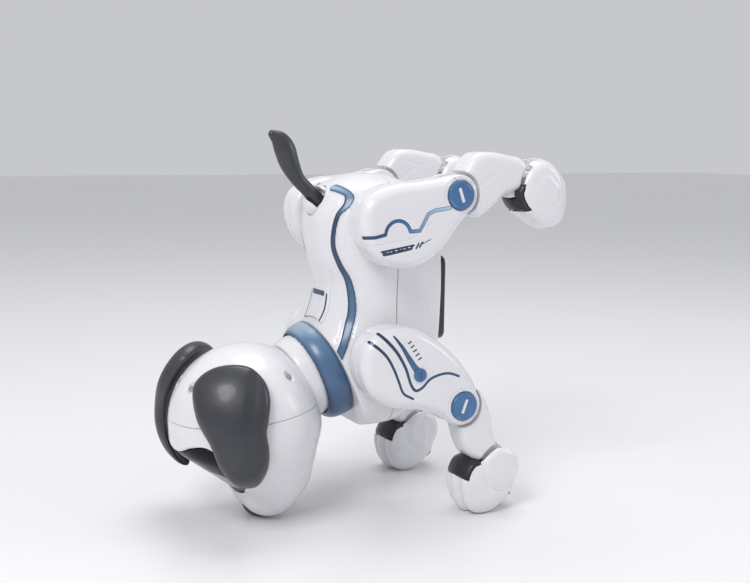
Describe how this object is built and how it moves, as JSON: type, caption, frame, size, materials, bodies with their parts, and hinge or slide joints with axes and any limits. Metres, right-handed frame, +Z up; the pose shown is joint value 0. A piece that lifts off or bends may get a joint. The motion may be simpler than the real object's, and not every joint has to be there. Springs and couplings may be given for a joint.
{
  "type": "robot dog toy",
  "caption": "Jointed robot dog toy in a handstand: hollow shell torso, turning head with a dark visor and hanging ears, wagging tail, four three-part legs with hip, knee and ankle pivots.",
  "frame": {"origin": "on the floor under the middle of the toy's bounding box, in its handstand", "axes": "+Z up from the floor; +X the side the dog's belly faces, -X its back; -Y its left side and +Y its right side"},
  "size_m": [0.2671, 0.14, 0.257],
  "materials": {
    "white_shell": "glossy, slightly violet white",
    "blue_trim": "satin steel blue",
    "blue_cap": "satin mid blue",
    "dark_grey": "satin dark slate grey",
    "black_gloss": "glossy black",
    "black_matte": "matte black",
    "soft_black": "matte rubber",
    "steel": "zinc plated",
    "inner_plastic": "moulded, unpainted",
    "board": "solder mask",
    "battery": "shrink sleeve"
  },
  "bodies": {
    "torso": {"torso_back_shell": "white_shell", "torso_belly_shell": "white_shell", "belly_door": "black_gloss", "charging_port": "black_matte", "body_screws": "steel", "battery_pack": "battery", "main_board": "board", "chassis_frame": "inner_plastic", "leg_servos": "black_matte", "speaker": "black_matte", "collar": "blue_trim", "neck_servo": "black_matte", "nape_plate": "white_shell", "side_stripes": "blue_trim", "tail_socket": "white_shell"},
    "switch": {"power_switch": "black_matte"},
    "tail": {"tail": "dark_grey"},
    "head": {"head_back_shell": "white_shell", "face_shell": "white_shell", "face_visor": "black_gloss", "nose": "black_gloss", "eye_board": "board", "head_screws": "steel", "neck_ring": "white_shell"},
    "left_ear": {"ear_left": "dark_grey"},
    "right_ear": {"ear_right": "dark_grey"},
    "hind_left_thigh": {"hind_left_thigh_outer": "white_shell", "hind_left_thigh_inner": "white_shell", "hind_left_knee_cap": "blue_cap"},
    "hind_left_shin": {"hind_left_shin_outer": "white_shell", "hind_left_shin_inner": "white_shell"},
    "hind_left_foot": {"hind_left_paw": "white_shell", "hind_left_ankle_boot": "soft_black"},
    "hind_left_roller": {"hind_left_paw_roller": "soft_black"},
    "hind_right_thigh": {"hind_right_thigh_outer": "white_shell", "hind_right_thigh_inner": "white_shell", "hind_right_knee_cap": "blue_cap"},
    "hind_right_shin": {"hind_right_shin_outer": "white_shell", "hind_right_shin_inner": "white_shell"},
    "hind_right_foot": {"hind_right_paw": "white_shell", "hind_right_ankle_boot": "soft_black"},
    "hind_right_roller": {"hind_right_paw_roller": "soft_black"},
    "front_left_thigh": {"front_left_thigh_outer": "white_shell", "front_left_thigh_inner": "white_shell", "front_left_knee_cap": "blue_cap", "front_left_shoulder_disc": "blue_cap"},
    "front_left_shin": {"front_left_shin_outer": "white_shell", "front_left_shin_inner": "white_shell"},
    "front_left_foot": {"front_left_paw": "white_shell", "front_left_ankle_boot": "soft_black"},
    "front_left_roller": {"front_left_paw_roller": "soft_black"},
    "front_right_thigh": {"front_right_thigh_outer": "white_shell", "front_right_thigh_inner": "white_shell", "front_right_knee_cap": "blue_cap", "front_right_shoulder_disc": "blue_cap"},
    "front_right_shin": {"front_right_shin_outer": "white_shell", "front_right_shin_inner": "white_shell"},
    "front_right_foot": {"front_right_paw": "white_shell", "front_right_ankle_boot": "soft_black"},
    "front_right_roller": {"front_right_paw_roller": "soft_black"}
  },
  "joints": [
    {"name": "head_turn", "type": "hinge", "parent": "torso", "child": "head", "pos_m": [-0.031, 0, 0.096], "axis": [-0.9135, 0, -0.4067], "range_deg": [-25, 25]},
    {"name": "left_ear_swing", "type": "hinge", "parent": "head", "child": "left_ear", "pos_m": [-0.08, 0, 0.067], "axis": [-0.3848, -0.7117, 0.5878], "range_deg": [-32, 0]},
    {"name": "right_ear_swing", "type": "hinge", "parent": "head", "child": "right_ear", "pos_m": [-0.08, 0, 0.067], "axis": [-0.3848, 0.7117, 0.5878], "range_deg": [-42, 2]},
    {"name": "tail_wag", "type": "hinge", "parent": "torso", "child": "tail", "pos_m": [-0.028, 0, 0.2095], "axis": [0.6947, 0, 0.7193], "range_deg": [-22, 22]},
    {"name": "power_switch_slide", "type": "slide", "parent": "torso", "child": "switch", "axis": [0, 0, 1], "range_m": [-0.003, 0.003]},
    {"name": "hind_left_hip", "type": "hinge", "parent": "torso", "child": "hind_left_thigh", "pos_m": [0, -0.054, 0.197], "axis": [0, 1, 0], "range_deg": [-30, 40]},
    {"name": "hind_left_knee", "type": "hinge", "parent": "hind_left_thigh", "child": "hind_left_shin", "pos_m": [0.042, -0.054, 0.216], "axis": [0, 1, 0], "range_deg": [-35, 18]},
    {"name": "hind_left_ankle", "type": "hinge", "parent": "hind_left_shin", "child": "hind_left_foot", "pos_m": [0.106, -0.054, 0.222], "axis": [0, 1, 0], "range_deg": [-20, 0]},
    {"name": "hind_left_roller_spin", "type": "hinge", "parent": "hind_left_foot", "child": "hind_left_roller", "pos_m": [0.1246, -0.054, 0.215], "axis": [0, 1, 0], "continuous": true},
    {"name": "hind_right_hip", "type": "hinge", "parent": "torso", "child": "hind_right_thigh", "pos_m": [0, 0.054, 0.197], "axis": [0, 1, 0], "range_deg": [-30, 40]},
    {"name": "hind_right_knee", "type": "hinge", "parent": "hind_right_thigh", "child": "hind_right_shin", "pos_m": [0.042, 0.054, 0.216], "axis": [0, 1, 0], "range_deg": [-35, 18]},
    {"name": "hind_right_ankle", "type": "hinge", "parent": "hind_right_shin", "child": "hind_right_foot", "pos_m": [0.106, 0.054, 0.222], "axis": [0, 1, 0], "range_deg": [-20, 0]},
    {"name": "hind_right_roller_spin", "type": "hinge", "parent": "hind_right_foot", "child": "hind_right_roller", "pos_m": [0.1246, 0.054, 0.215], "axis": [0, 1, 0], "continuous": true},
    {"name": "front_left_shoulder", "type": "hinge", "parent": "torso", "child": "front_left_thigh", "pos_m": [0.0005, -0.054, 0.106], "axis": [0, 1, 0], "range_deg": [-35, 35]},
    {"name": "front_left_knee", "type": "hinge", "parent": "front_left_thigh", "child": "front_left_shin", "pos_m": [0.048, -0.054, 0.077], "axis": [0, 1, 0], "range_deg": [-18, 30]},
    {"name": "front_left_ankle", "type": "hinge", "parent": "front_left_shin", "child": "front_left_foot", "pos_m": [0.079, -0.054, 0.031], "axis": [0, 1, 0], "range_deg": [-20, 0]},
    {"name": "front_left_roller_spin", "type": "hinge", "parent": "front_left_foot", "child": "front_left_roller", "pos_m": [0.08592, -0.054, 0.01237], "axis": [0, 1, 0], "continuous": true},
    {"name": "front_right_shoulder", "type": "hinge", "parent": "torso", "child": "front_right_thigh", "pos_m": [0.0005, 0.054, 0.106], "axis": [0, 1, 0], "range_deg": [-35, 35]},
    {"name": "front_right_knee", "type": "hinge", "parent": "front_right_thigh", "child": "front_right_shin", "pos_m": [0.048, 0.054, 0.077], "axis": [0, 1, 0], "range_deg": [-18, 30]},
    {"name": "front_right_ankle", "type": "hinge", "parent": "front_right_shin", "child": "front_right_foot", "pos_m": [0.079, 0.054, 0.031], "axis": [0, 1, 0], "range_deg": [-20, 0]},
    {"name": "front_right_roller_spin", "type": "hinge", "parent": "front_right_foot", "child": "front_right_roller", "pos_m": [0.08592, 0.054, 0.01237], "axis": [0, 1, 0], "continuous": true}
  ]
}
